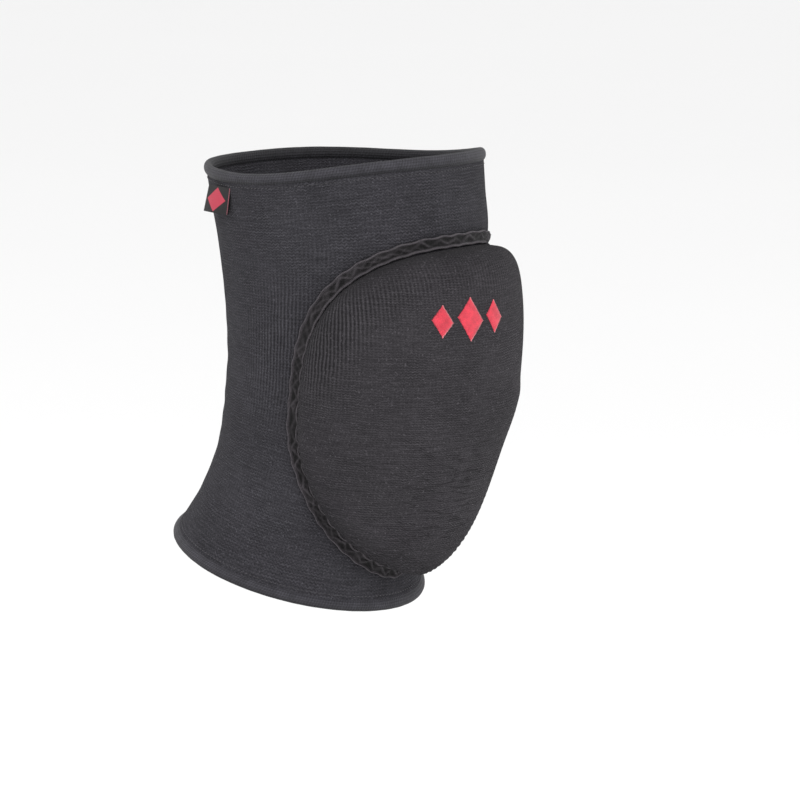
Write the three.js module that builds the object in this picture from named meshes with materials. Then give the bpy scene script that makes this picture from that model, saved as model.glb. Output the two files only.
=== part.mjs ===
// Knitted knee pad with a thick sewn-on front pad, in the shape that it has when it is worn on a leg.
// Millimetres. +Z runs up the thigh, the kneecap faces -Y, and the origin is the middle of the knee.
import * as THREE from "three";
import { LoftGeometry } from "three/addons/geometries/LoftGeometry.js";

const degree = Math.PI / 180;

// Sleeve, measured to its outer face and to the ends of its hems
const thighLength = 108.7;
const thighRadius = 64.3;
const thighBow = -6.2;
const thighTilt = -3.7 * degree;
const kneeRadius = 54;
const kneeTilt = 4 * degree;
const shinLength = 85;
const calfRadius = 60;
const calfSetback = 26.5;
const calfTilt = 16.6 * degree;
const wall = 2;

// How far the thigh end dips at the two sides of the leg
const sideDip = 4.2;

// Bump of the kneecap under the sleeve's front
const kneecapBulge = 8;
const kneecapHeight = 6;
const kneecapReach = 48;
const kneecapSpread = 62 * degree;

// Rolled hems
const topHemHeight = 6;
const bottomHemHeight = 5;
const hemThickness = 4.2;

// Pad, measured to the tape's outer edge: up and down from the knee's middle, and across along the sleeve
const padRise = 73.5;
const padDrop = 71.5;
const padHalfWidth = 71.8;
const padThickness = 24;
const upperTipPower = 2.7;
const upperFlankPower = 2.6;
const lowerTipPower = 1.45;
const lowerFlankPower = 2.05;
const domePower = 2.5;
const upperDomeGain = 0.6;
const lowerDomeGain = 3;

// Puckered tape round the pad
const tapeWidth = 5.5;
const tapeThickness = 1.6;
const puckerPitch = 9.2;
const puckerDepth = 0.7;
const puckerSway = 0.6;

// Folded side label, sewn down along one edge
const labelLength = 15;
const labelHeight = 12.5;
const labelThickness = 1;
const labelDrop = 14.5;
const labelAngle = 109 * degree;
const labelLift = 8 * degree;
const labelDroop = 13 * degree;
const labelLean = 8 * degree;

// Embroidered row of lozenges across the pad, placed by the sleeve point under its middle
const lozengeHeight = 40;
const lozengeAcross = 8.5;
const lozengeWidth = 15.5;
const lozengeTallness = 20;
const lozengeThickness = 0.8;
const lozengeSpacing = 2;
const sideLozengeShare = 0.75;

// Gaps between pieces, and under the pieces that follow the sleeve's curves
const clearance = 0.3;
const seatClearance = 0.5;

// Number of facets
const aroundSleeve = 56;
const alongSleeve = 18;
const padSlices = 26;
const padRows = 24;
const facetsPerPucker = 4;
const aroundHem = 8;
const aroundFold = 6;
const lozengeSlices = 8;
const lozengeRows = 4;

// How strongly the pad's slices and rows bunch towards its edges, and where the last slice lies
const sliceEasing = 1;
const rowEasing = 0.5;
const tipShare = 0.999;

// Colour and roughness of each cloth
const knit = { color: 0x3f3e43, roughness: 0.9 };
const rolledKnit = { color: 0x3f3e43, roughness: 0.85 };
const tapeCloth = { color: 0x373538, roughness: 0.8 };
const ribbon = { color: 0x1d1c1f, roughness: 0.7 };
const thread = { color: 0xe8475a, roughness: 0.6 };

// The two limbs and the joint between them. Rows of the table below take their lengths from these.
const thigh = { length: thighLength, back: thighBow, tilt: thighTilt, radius: thighRadius };
const knee = { length: 0, back: 0, tilt: kneeTilt, radius: kneeRadius };
const calf = { length: -shinLength, back: calfSetback, tilt: calfTilt, radius: calfRadius };

// Sections of the worn sleeve from the calf up, each value a share of its limb's size
const sections = [
  { limb: calf, length: 1.0, back: 1.0, tilt: 1.0, radius: 1.0 },
  { limb: calf, length: 0.86, back: 0.89, tilt: 1.0, radius: 0.92 },
  { limb: calf, length: 0.73, back: 0.72, tilt: 0.97, radius: 0.88 },
  { limb: calf, length: 0.47, back: 0.39, tilt: 0.86, radius: 0.857 },
  { limb: calf, length: 0.19, back: 0.16, tilt: 0.51, radius: 0.868 },
  { limb: knee, length: 1.0, back: 1.0, tilt: 1.0, radius: 1.0 },
  { limb: thigh, length: 0.11, back: 0.15, tilt: -0.9, radius: 0.837 },
  { limb: thigh, length: 0.38, back: 0.66, tilt: 0.0, radius: 0.891 },
  { limb: thigh, length: 0.66, back: 1.0, tilt: 0.7, radius: 0.966 },
  { limb: thigh, length: 0.83, back: 0.61, tilt: 0.9, radius: 0.985 },
  { limb: thigh, length: 1.0, back: 0.24, tilt: 1.0, radius: 1.0 },
];

// One size of one section, in millimetres or radians
function sizeOf(section, column) {
  return section[column] * section.limb[column];
}

// Slope of a column at a section, from the sections either side of it
function slopeOf(index, column) {
  const below = sections[Math.max(index - 1, 0)];
  const above = sections[Math.min(index + 1, sections.length - 1)];
  const run = sizeOf(above, "length") - sizeOf(below, "length");
  return (sizeOf(above, column) - sizeOf(below, column)) / run;
}

// A column's value at any height on the leg's middle line, on a smooth curve through the sections
function valueAt(height, column) {
  let index = sections.findIndex((section) => sizeOf(section, "length") > height) - 1;
  if (index < 0) {
    index = height <= sizeOf(sections[0], "length") ? 0 : sections.length - 2;
  }
  const lower = sizeOf(sections[index], "length");
  const span = sizeOf(sections[index + 1], "length") - lower;
  const share = (height - lower) / span;
  const square = share * share;
  const cube = square * share;
  const start = sizeOf(sections[index], column) * (2 * cube - 3 * square + 1);
  const end = sizeOf(sections[index + 1], column) * (3 * square - 2 * cube);
  const startSlope = slopeOf(index, column) * span * (cube - 2 * square + share);
  const endSlope = slopeOf(index + 1, column) * span * (cube - square);
  return start + end + startSlope + endSlope;
}

function bell(distance) {
  return Math.exp(-distance * distance);
}

// A point at an angle round the leg from its front, at a height, standing out from the sleeve's outer face
function sleevePoint(angle, height, offset) {
  const tilt = valueAt(height, "tilt");
  const bulge = kneecapBulge * bell(angle / kneecapSpread) * bell((height - kneecapHeight) / kneecapReach);
  const reach = valueAt(height, "radius") + bulge + offset;
  const forward = Math.cos(angle) * reach;
  const back = valueAt(height, "back") - forward * Math.cos(tilt);
  const dip = sideDip * Math.sin(angle) ** 4 * Math.max(height / thighLength, 0) ** 3;
  return new THREE.Vector3(-Math.sin(angle) * reach, back, height - forward * Math.sin(tilt) - dip);
}

// Equal steps from one value to another, both ends included
function steps(from, to, count) {
  return Array.from({ length: count + 1 }, (_, index) => from + ((to - from) * index) / count);
}

// A ring lofted through closed outlines, one for each step of a whole turn
function ring(count, outlineAt) {
  const outlines = steps(0, 2 * Math.PI, count).slice(0, count).map(outlineAt);
  return new LoftGeometry([...outlines, outlines[0]]);
}

function piece(name, geometry, cloth) {
  const mesh = new THREE.Mesh(geometry, new THREE.MeshStandardMaterial(cloth));
  mesh.name = name;
  return mesh;
}

const model = new THREE.Group();

// Sleeve
const sleeveTop = thighLength - topHemHeight - clearance;
const sleeveBottom = -shinLength + bottomHemHeight + clearance;
const sleeveHeights = steps(sleeveBottom, sleeveTop, alongSleeve);
const sleeve = ring(aroundSleeve, (angle) => {
  const signedAngle = angle > Math.PI ? angle - 2 * Math.PI : angle;
  const outside = sleeveHeights.map((height) => sleevePoint(signedAngle, height, 0));
  const inside = sleeveHeights.map((height) => sleevePoint(signedAngle, height, -wall));
  return [...outside, ...inside.reverse()];
});
model.add(piece("sleeve", sleeve, knit));

// Hems, centred on the sleeve's wall
function hem(middleHeight, tallness) {
  return ring(aroundSleeve, (angle) =>
    steps(0, 2 * Math.PI, aroundHem).slice(0, aroundHem).map((turn) => {
      const offset = (Math.cos(turn) * hemThickness - wall) / 2;
      return sleevePoint(angle, middleHeight + (Math.sin(turn) * tallness) / 2, offset);
    }),
  );
}
model.add(piece("top_hem", hem(thighLength - topHemHeight / 2, topHemHeight), rolledKnit));
model.add(piece("bottom_hem", hem(-shinLength + bottomHemHeight / 2, bottomHemHeight), rolledKnit));

// The pad's plan is drawn on the sleeve: across runs along the sleeve's girth, height up the leg.
// Its upper half is squarer and its lower half more pointed. On each the two shares, raised to the
// powers of the tip and the flank, add up to one. The dome's own power gains towards the tips.
const upperPad = { reach: padRise, tip: upperTipPower, flank: upperFlankPower, gain: upperDomeGain };
const lowerPad = { reach: padDrop, tip: lowerTipPower, flank: lowerFlankPower, gain: lowerDomeGain };
function halfOf(rise) {
  return rise > 0 ? upperPad : lowerPad;
}
function signedPower(value, power) {
  return Math.sign(value) * Math.abs(value) ** power;
}
function planPoint(turn, inset) {
  const { reach, tip, flank } = halfOf(Math.sin(turn));
  return {
    across: (padHalfWidth - inset) * signedPower(Math.cos(turn), 2 / tip),
    height: (reach - inset) * signedPower(Math.sin(turn), 2 / flank),
  };
}
function overSleeve(across, height, offset) {
  return sleevePoint(across / kneeRadius, height, offset);
}
class PlanCurve extends THREE.Curve {
  getPoint(share, target = new THREE.Vector3()) {
    const { across, height } = planPoint(share * 2 * Math.PI, 0);
    return target.set(across, height, 0);
  }
}

// A point above the pad's dome, which rises inside the tape
const padInset = tapeWidth + clearance;
function overPad(across, height, lift) {
  const { reach, tip, flank, gain } = halfOf(height);
  const acrossShare = Math.abs(across) / (padHalfWidth - padInset);
  const riseShare = Math.abs(height) / (reach - padInset);
  const share = Math.min((acrossShare ** tip + riseShare ** flank) ** (2 / (tip + flank)), 1);
  const power = domePower + gain * riseShare ** 2;
  const dome = padThickness * (1 - share ** power) ** (1 / power);
  return overSleeve(across, height, seatClearance + dome + lift);
}

// Shares from one edge of a piece to the other: evenly spaced at easing 0, bunched at the edges at 1
function easedShares(edge, count, easing) {
  return steps(-1, 1, count).map((share) => {
    const bunched = Math.sin((share * Math.PI) / 2);
    return edge * (share + (bunched - share) * easing);
  });
}

// Pad, lofted through slices from one side of the leg to the other
function padSlice(share) {
  const across = share * (padHalfWidth - padInset);
  const heights = easedShares(1, padRows, rowEasing).map((rise) => {
    const { reach, tip, flank } = halfOf(rise);
    const edge = (1 - Math.abs(share) ** tip) ** (1 / flank);
    return rise * edge * (reach - padInset);
  });
  const dome = heights.map((height) => overPad(across, height, 0));
  const base = heights.slice(1, -1).map((height) => overSleeve(across, height, seatClearance));
  return [...dome, ...base.reverse()];
}
const padShares = easedShares(tipShare, padSlices, sliceEasing);
const pad = new LoftGeometry(padShares.map(padSlice), { capStart: true, capEnd: true });
model.add(piece("knee_pad", pad, knit));

// Puckered tape: two raised edges, and between them a groove pinched across once a pucker. Each column of
// this table is a share: across of the width, height of the thickness, pinch and sway of their own sizes.
const tapeProfile = [
  { across: 0, height: 0, pinch: 0, sway: 0 },
  { across: 0.15, height: 1, pinch: 0, sway: 0.4 },
  { across: 0.5, height: 0.75, pinch: 1, sway: 0 },
  { across: 0.85, height: 1, pinch: 0, sway: -1 },
  { across: 1, height: 0, pinch: 0, sway: 0 },
];
const plan = new PlanCurve();
const puckers = Math.round(plan.getLength() / puckerPitch);
const tape = ring(puckers * facetsPerPucker, (angle) => {
  const turn = plan.getUtoTmapping(angle / (2 * Math.PI)) * 2 * Math.PI;
  const wave = (1 - Math.cos(angle * puckers)) / 2;
  return tapeProfile.map(({ across, height, pinch, sway }) => {
    const inset = across * tapeWidth + sway * wave * puckerSway;
    const point = planPoint(turn, inset);
    const rise = height * tapeThickness - pinch * wave * puckerDepth;
    return overSleeve(point.across, point.height, seatClearance + rise);
  });
});
model.add(piece("seam_tape", tape, tapeCloth));

// Side label: a strip folded double, with its fold at the free end
const fold = labelThickness / 2;
const labelOutline = new THREE.Shape();
labelOutline.moveTo(0, -fold);
labelOutline.lineTo(labelLength - fold, -fold);
labelOutline.absarc(labelLength - fold, 0, fold, -Math.PI / 2, Math.PI / 2, false);
labelOutline.lineTo(0, fold);
const labelStrip = new THREE.ExtrudeGeometry(labelOutline, {
  depth: labelHeight,
  bevelEnabled: false,
  curveSegments: aroundFold,
});
labelStrip.translate(0, 0, -labelHeight / 2);
const label = piece("side_label", labelStrip, ribbon);
const labelMiddle = thighLength - labelDrop;
const labelFoot = sleevePoint(labelAngle, labelMiddle - labelHeight / 2, 0);
const labelUp = sleevePoint(labelAngle, labelMiddle + labelHeight / 2, 0).sub(labelFoot).normalize();
const labelAlong = new THREE.Vector3(-Math.cos(labelAngle), Math.sin(labelAngle), 0);
const labelOut = new THREE.Vector3().crossVectors(labelUp, labelAlong).normalize();
labelAlong.crossVectors(labelOut, labelUp);
label.quaternion.setFromRotationMatrix(new THREE.Matrix4().makeBasis(labelAlong, labelOut, labelUp));
label.rotateZ(labelLift);
label.rotateX(labelDroop);
label.rotateY(-labelLean);
const labelStandoff = clearance + fold + (Math.sin(labelDroop) * labelHeight) / 2;
label.position.copy(sleevePoint(labelAngle, labelMiddle, labelStandoff));
model.add(label);

// How much longer the dome is than the sleeve under it where the row lies, along the girth and up the leg
function stretch(across, height) {
  const before = overPad(lozengeAcross - across / 2, lozengeHeight - height / 2, 0);
  const after = overPad(lozengeAcross + across / 2, lozengeHeight + height / 2, 0);
  return before.distanceTo(after);
}
const girthStretch = stretch(1, 0);
const riseStretch = stretch(0, 1);

// One embroidered lozenge, lofted from one side tip to the other
function lozenge(middle, width, tallness) {
  const slices = steps(-tipShare, tipShare, lozengeSlices).map((share) => {
    const across = lozengeAcross + (middle + (share * width) / 2) / girthStretch;
    const halfTall = ((1 - Math.abs(share)) * tallness) / 2 / riseStretch;
    const heights = steps(lozengeHeight - halfTall, lozengeHeight + halfTall, lozengeRows);
    const over = heights.map((height) => overPad(across, height, clearance + lozengeThickness));
    const under = heights.map((height) => overPad(across, height, clearance));
    return [...over, ...under.reverse()];
  });
  return new LoftGeometry(slices, { capStart: true, capEnd: true });
}
const sideWidth = lozengeWidth * sideLozengeShare;
const sideTallness = lozengeTallness * sideLozengeShare;
const lozengeStep = (lozengeWidth + sideWidth) / 2 + lozengeSpacing;
const row = [
  { across: -lozengeStep, width: sideWidth, tallness: sideTallness },
  { across: 0, width: lozengeWidth, tallness: lozengeTallness },
  { across: lozengeStep, width: sideWidth, tallness: sideTallness },
];
row.forEach(({ across, width, tallness }, index) => {
  model.add(piece(`pad_lozenge_${index + 1}`, lozenge(across, width, tallness), thread));
});

export default model;
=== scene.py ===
"""Looks of the knitted knee pad: sleeve, padded front, puckered tape, rolled hems, label and embroidery."""

import math

import bmesh
import bpy
import numpy as np
from bpy.props import FloatProperty, FloatVectorProperty, PointerProperty
from mathutils import Matrix, Vector
from mathutils.bvhtree import BVHTree


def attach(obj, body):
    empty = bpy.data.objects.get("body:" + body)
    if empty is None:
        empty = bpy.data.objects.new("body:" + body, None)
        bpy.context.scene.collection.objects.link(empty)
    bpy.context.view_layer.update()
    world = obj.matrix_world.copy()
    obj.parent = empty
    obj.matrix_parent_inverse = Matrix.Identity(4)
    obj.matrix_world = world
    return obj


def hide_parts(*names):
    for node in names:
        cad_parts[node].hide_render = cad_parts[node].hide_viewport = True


bl_info = {
    "name": "Knitted knee pad",
    "version": (1, 0, 0),
    "blender": (4, 5, 0),
    "location": "3D View > Sidebar > Knee pad",
    "description": "Makes the cloth, foam pad, tape, hems, label and embroidery of a knitted knee pad",
    "category": "Add Mesh",
}

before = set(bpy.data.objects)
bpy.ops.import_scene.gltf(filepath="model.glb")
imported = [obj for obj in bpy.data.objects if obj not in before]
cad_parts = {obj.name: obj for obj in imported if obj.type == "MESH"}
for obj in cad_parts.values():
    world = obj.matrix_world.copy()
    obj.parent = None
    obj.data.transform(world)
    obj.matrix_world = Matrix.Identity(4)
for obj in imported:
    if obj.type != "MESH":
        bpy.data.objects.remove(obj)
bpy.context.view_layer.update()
MM = 0.001


def length(name, description, default):
    """A length in metres that a user can change."""
    return FloatProperty(
        name=name, description=description, default=default, unit="LENGTH", subtype="DISTANCE", precision=5
    )


def tilt(name, description, degrees):
    """An angle that a user can change."""
    return FloatProperty(
        name=name, description=description, default=math.radians(degrees), unit="ROTATION", subtype="ANGLE"
    )


def srgb(code):
    """A linear colour from an sRGB hex value."""
    parts = [int(code[i : i + 2], 16) / 255 for i in (1, 3, 5)]
    return tuple(p / 12.92 if p <= 0.04045 else ((p + 0.055) / 1.055) ** 2.4 for p in parts)


def colour(name, description, code):
    """A colour that a user can change, given as an sRGB hex value."""
    return FloatVectorProperty(
        name=name, description=description, default=srgb(code), subtype="COLOR", size=3, min=0.0, max=1.0
    )


class KneePadSizes(bpy.types.PropertyGroup):
    """Sizes of the knee pad as it is worn."""

    thigh_length: length("Thigh length", "From the middle of the knee to the top of the upper hem", 0.1087)
    thigh_radius: length("Thigh radius", "Radius of the sleeve at its upper end", 0.0643)
    thigh_bow: length("Thigh bow", "How far the thigh's middle line bows forward", -0.0062)
    thigh_tilt: tilt("Thigh tilt", "How far the upper end tips", -3.7)
    knee_radius: length("Knee radius", "Radius of the sleeve at the middle of the knee", 0.054)
    knee_tilt: tilt("Knee tilt", "How far the knee's own section tips", 4.0)
    shin_length: length("Shin length", "From the middle of the knee to the bottom of the lower hem", 0.085)
    calf_radius: length("Calf radius", "Radius of the sleeve at its lower end", 0.060)
    calf_setback: length("Calf setback", "How far back the lower end lies", 0.0265)
    calf_tilt: tilt("Calf tilt", "How far the lower end tips", 16.6)
    wall: length("Cloth thickness", "Thickness of the knitted sleeve", 0.002)
    side_dip: length("Side dip", "How far the upper end dips at the sides of the leg", 0.0042)
    kneecap_bulge: length("Kneecap bulge", "How far the kneecap lifts the sleeve", 0.008)
    kneecap_height: length("Kneecap height", "Height of the kneecap's middle", 0.006)
    kneecap_reach: length("Kneecap reach", "How far up and down the kneecap's bump runs", 0.048)
    kneecap_spread: tilt("Kneecap spread", "How far round the leg the kneecap's bump runs", 62.0)
    top_hem_height: length("Upper hem height", "Height of the rolled hem at the thigh", 0.006)
    bottom_hem_height: length("Lower hem height", "Height of the rolled hem at the shin", 0.005)
    hem_thickness: length("Hem thickness", "Thickness of the rolled hems", 0.0042)
    pad_rise: length("Pad rise", "From the middle of the knee up to the tape's upper edge", 0.0735)
    pad_drop: length("Pad drop", "From the middle of the knee down to the tape's lower edge", 0.0715)
    pad_half_width: length("Pad half width", "Half the pad's width along the sleeve, to the tape's outer edge", 0.0718)
    pad_thickness: length("Pad thickness", "How far the foam stands out from the sleeve", 0.024)
    tape_width: length("Tape width", "Width of the puckered tape", 0.0055)
    tape_thickness: length("Tape thickness", "Thickness of the puckered tape", 0.0016)
    pucker_pitch: length("Pucker pitch", "Distance from one pucker of the tape to the next", 0.0092)
    label_length: length("Label length", "How far the folded label stands out from its seam", 0.015)
    label_height: length("Label height", "Height of the folded label", 0.0125)
    label_drop: length("Label drop", "From the top of the upper hem to the label's middle", 0.0152)
    label_angle: tilt("Label place", "How far round the leg from its front the label is sewn", 107.5)
    label_lift: tilt("Label lift", "How far the label's free end stands off the sleeve", 8.0)
    label_droop: tilt("Label droop", "How far the label's lower edge stands off the sleeve", 17.0)
    label_lean: tilt("Label lean", "How far the label's free end tips up", 12.0)
    lozenge_height: length("Row height", "Height of the embroidered row on the sleeve under the pad", 0.040)
    lozenge_across: length("Row place", "How far round the sleeve the embroidered row's middle lies", 0.0085)
    lozenge_width: length("Lozenge width", "Width of the middle lozenge", 0.0155)
    lozenge_tallness: length("Lozenge tallness", "Tallness of the middle lozenge", 0.020)
    lozenge_spacing: length("Lozenge spacing", "Gap between two lozenges", 0.002)
    wale_pitch: length("Wale pitch", "Distance between two columns of stitches", 0.0018)
    course_pitch: length("Course pitch", "Distance between two rows of stitches", 0.0014)
    floor_drop: length("Floor drop", "How far below the knee the floor lies", 0.32)
    camera_distance: length("Camera distance", "From the camera to the knee", 3.0)


class KneePadColours(bpy.types.PropertyGroup):
    """Colours of the knee pad's cloths and threads."""

    sleeve: colour("Sleeve", "The knitted sleeve", "#38373b")
    pad: colour("Pad", "The knit over the foam", "#383639")
    tape: colour("Tape", "The puckered tape", "#343134")
    hem: colour("Hems", "The rolled hems", "#2f2e33")
    label: colour("Label", "The woven label", "#171517")
    thread: colour("Embroidery", "The embroidery thread", "#d23c4e")
    label_mark: colour("Label lozenge", "The lozenge woven into the label", "#c43d52")
    stitch: colour("Stitching", "The sewing thread of the hems", "#454347")
    backdrop: colour("Floor", "The pale floor", "#fcfcfc")


def sizes():
    return bpy.context.scene.knee_pad_sizes


def colours():
    return bpy.context.scene.knee_pad_colours


# Sections of the worn sleeve from the calf up, each a share of its limb's length, setback, tilt and radius
SECTIONS = (
    ("calf", 1.0, 1.0, 1.0, 1.0),
    ("calf", 0.86, 0.89, 1.0, 0.92),
    ("calf", 0.73, 0.72, 0.97, 0.88),
    ("calf", 0.47, 0.39, 0.86, 0.857),
    ("calf", 0.19, 0.16, 0.51, 0.868),
    ("knee", 1.0, 1.0, 1.0, 1.0),
    ("thigh", 0.11, 0.15, -0.9, 0.837),
    ("thigh", 0.38, 0.66, 0.0, 0.891),
    ("thigh", 0.66, 1.0, 0.7, 0.966),
    ("thigh", 0.83, 0.61, 0.9, 0.985),
    ("thigh", 1.0, 0.24, 1.0, 1.0),
)
HEIGHT, BACK, TILT, RADIUS = range(4)


def leg_table():
    """The sections' real heights, setbacks, tilts and radii."""
    s = sizes()
    limbs = {
        "thigh": (s.thigh_length, s.thigh_bow, s.thigh_tilt, s.thigh_radius),
        "knee": (0.0, 0.0, s.knee_tilt, s.knee_radius),
        "calf": (-s.shin_length, s.calf_setback, s.calf_tilt, s.calf_radius),
    }
    return np.array([[share * size for share, size in zip(row[1:], limbs[row[0]])] for row in SECTIONS])


def value_at(height, column):
    """One column of the leg's sections at any heights, on a smooth curve through them."""
    table = leg_table()
    places, values = table[:, HEIGHT], table[:, column]
    numbers = np.arange(len(table))
    below, above = np.maximum(numbers - 1, 0), np.minimum(numbers + 1, len(table) - 1)
    slopes = (values[above] - values[below]) / (places[above] - places[below])
    index = np.clip(np.searchsorted(places, height, side="right") - 1, 0, len(table) - 2)
    span = places[index + 1] - places[index]
    t = (height - places[index]) / span
    ends = values[index] * (2 * t**3 - 3 * t**2 + 1) + values[index + 1] * (3 * t**2 - 2 * t**3)
    return ends + span * (slopes[index] * (t**3 - 2 * t**2 + t) + slopes[index + 1] * (t**3 - t**2))


def bell(distance):
    """One in the middle, fading to nothing about two away from it."""
    return np.exp(-(distance**2))


def near(place, middle, reach):
    """One where a place is at the middle, fading over its reach. Both are in millimetres."""
    return bell((place - middle * MM) / (reach * MM))


def sleeve_point(angle, height, offset):
    """Points round the leg: angle from the front, height on the leg's middle line, offset out from the cloth."""
    s = sizes()
    angle, height, offset = np.broadcast_arrays(
        np.asarray(angle, float), np.asarray(height, float), np.asarray(offset, float)
    )
    tip = value_at(height, TILT)
    bump = s.kneecap_bulge * bell(angle / s.kneecap_spread) * bell((height - s.kneecap_height) / s.kneecap_reach)
    reach = value_at(height, RADIUS) + bump + offset
    forward = np.cos(angle) * reach
    dip = s.side_dip * np.sin(angle) ** 4 * np.maximum(height / s.thigh_length, 0) ** 3
    x = -np.sin(angle) * reach
    y = value_at(height, BACK) - forward * np.cos(tip)
    return np.stack([x, y, height - forward * np.sin(tip) - dip], axis=-1)


def over_sleeve(across, height, offset):
    """Points on the front of the sleeve, by their distance round it at the knee's girth."""
    return sleeve_point(np.asarray(across) / sizes().knee_radius, height, offset)


SEAT = 0.5 * MM
CLEARANCE = 0.3 * MM
# Tip power, flank power and dome gain of the pad's two halves
UPPER_PLAN = (2.7, 2.6, 0.6)
LOWER_PLAN = (1.45, 2.05, 3.0)
DOME_POWER = 2.5
GATHER_PITCH = 2.9 * MM
STRETCH_LINE_PITCH = 2.1 * MM
ROLL_COURSES = 14


def half_of(rise):
    """Reach, tip power, flank power and dome gain of the half of the pad that each point lies in."""
    s = sizes()
    upper = np.asarray(rise) > 0
    reach = np.where(upper, s.pad_rise, s.pad_drop)
    return (reach, *(np.where(upper, high, low) for high, low in zip(UPPER_PLAN, LOWER_PLAN)))


def plan_point(turn, inset):
    """Points of the pad's outline on the sleeve, inset from the tape's outer edge."""
    reach, tip, flank, _ = half_of(np.sin(turn))
    cosine, sine = np.cos(turn), np.sin(turn)
    across = (sizes().pad_half_width - inset) * np.sign(cosine) * np.abs(cosine) ** (2 / tip)
    return across, (reach - inset) * np.sign(sine) * np.abs(sine) ** (2 / flank)


def pad_inset():
    return sizes().tape_width + CLEARANCE


def over_pad(across, height, lift):
    """Points above the pad's dome."""
    s = sizes()
    reach, tip, flank, gain = half_of(height)
    across_share = np.abs(across) / (s.pad_half_width - pad_inset())
    rise_share = np.abs(height) / (reach - pad_inset())
    share = np.minimum((across_share**tip + rise_share**flank) ** (2 / (tip + flank)), 1)
    power = DOME_POWER + gain * rise_share**2
    dome = s.pad_thickness * (1 - share**power) ** (1 / power)
    return over_sleeve(across, height, SEAT + dome + lift)


def outline_track(count):
    """The tape's outer edge at even steps: how far along it, its place on the sleeve and its turn."""
    fine = 20000
    turn = np.linspace(0, 2 * np.pi, fine + 1)
    across, height = plan_point(turn, 0.0)
    run = np.concatenate([[0], np.cumsum(np.hypot(np.diff(across), np.diff(height)))])
    even = np.linspace(0, run[-1], count + 1)
    return even, np.interp(even, run, across), np.interp(even, run, height), np.interp(even, run, turn)


def tape_run():
    """Length of the tape's outer edge."""
    return outline_track(10)[0][-1]


def puckers():
    """How many whole puckers the tape has."""
    return round(tape_run() / sizes().pucker_pitch)


def from_outline(across, height):
    """Distance of each point from the tape's outer edge, inside positive, and how far along the tape it lies."""
    even, edge_across, edge_height, _ = outline_track(1200)
    reach, tip, flank, _ = half_of(height)
    inside = (np.abs(across) / sizes().pad_half_width) ** tip + (np.abs(height) / reach) ** flank < 1
    distance, along = np.empty(len(across)), np.empty(len(across))
    at_once = 4000
    for start in range(0, len(across), at_once):
        part = slice(start, start + at_once)
        gap = np.hypot(across[part, None] - edge_across, height[part, None] - edge_height)
        nearest = gap.argmin(axis=1)
        distance[part] = gap[np.arange(len(nearest)), nearest]
        along[part] = even[nearest]
    return np.where(inside, distance, -distance), along


def drift(along, total, seed, steps=40):
    """A smooth wandering value from -1 to 1 that closes round the tape."""
    marks = np.random.default_rng(seed).uniform(-1, 1, steps)
    place = np.asarray(along) / total * steps
    low = np.floor(place).astype(int)
    share = place - low
    share = share * share * (3 - 2 * share)
    return marks[low % steps] * (1 - share) + marks[(low + 1) % steps] * share


def lattice(rows, columns, wrap_rows=False, wrap_columns=False):
    """Quads of a lattice of points, with the unwrapped row and column of each of their corners."""
    r, c = np.meshgrid(
        np.arange(rows if wrap_rows else rows - 1), np.arange(columns if wrap_columns else columns - 1), indexing="ij"
    )
    corner_rows = np.stack([r, r + 1, r + 1, r], axis=-1).reshape(-1, 4)
    corner_columns = np.stack([c, c, c + 1, c + 1], axis=-1).reshape(-1, 4)
    return (corner_rows % rows) * columns + corner_columns % columns, corner_rows, corner_columns


def make_piece(name, points, faces, stitches=None):
    """A mesh object from points in metres. stitches is each face corner's place in the knit, in stitches."""
    mesh = bpy.data.meshes.new(name)
    mesh.from_pydata(np.asarray(points).tolist(), [], [list(map(int, face)) for face in faces])
    if stitches is not None:
        layer = mesh.uv_layers.new(name="stitches")
        layer.data.foreach_set("uv", np.asarray(stitches, np.float32).ravel())
    piece = bpy.data.objects.new(name, mesh)
    bpy.context.collection.objects.link(piece)
    turn_outwards(piece)
    return piece


def turn_outwards(piece):
    """Turns a closed mesh's faces outwards."""
    shell = bmesh.new()
    shell.from_mesh(piece.data)
    if shell.calc_volume(signed=True) < 0:
        bmesh.ops.reverse_faces(shell, faces=shell.faces)
    shell.to_mesh(piece.data)
    shell.free()


def unit(way):
    return way / np.linalg.norm(way)


def select_only(piece):
    for other in bpy.context.selected_objects:
        other.select_set(False)
    piece.select_set(True)
    bpy.context.view_layer.objects.active = piece


def apply_modifiers(piece):
    select_only(piece)
    for modifier in list(piece.modifiers):
        bpy.ops.object.modifier_apply(modifier=modifier.name)


def smooth(piece):
    select_only(piece)
    bpy.ops.object.shade_smooth()


def points_of(piece):
    flat = np.empty(len(piece.data.vertices) * 3, np.float32)
    piece.data.vertices.foreach_get("co", flat)
    return flat.reshape(-1, 3).astype(float)


def move_points(piece, points):
    piece.data.vertices.foreach_set("co", np.asarray(points, np.float32).ravel())
    piece.data.update()


def point_normals(piece):
    flat = np.empty(len(piece.data.vertices) * 3, np.float32)
    piece.data.vertex_normals.foreach_get("vector", flat)
    return flat.reshape(-1, 3).astype(float)


def point_attribute(piece, name, values):
    """A value on each point that a material can read."""
    attribute = piece.data.attributes.new(name, "FLOAT", "POINT")
    attribute.data.foreach_set("value", np.asarray(values, np.float32))


def finish_piece(piece, node, material):
    """Rides the piece on the body, lets it stand for its CAD node and gives it its finish."""
    piece.data.materials.append(material)
    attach(piece, "root")
    if node:
        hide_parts(node)


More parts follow.
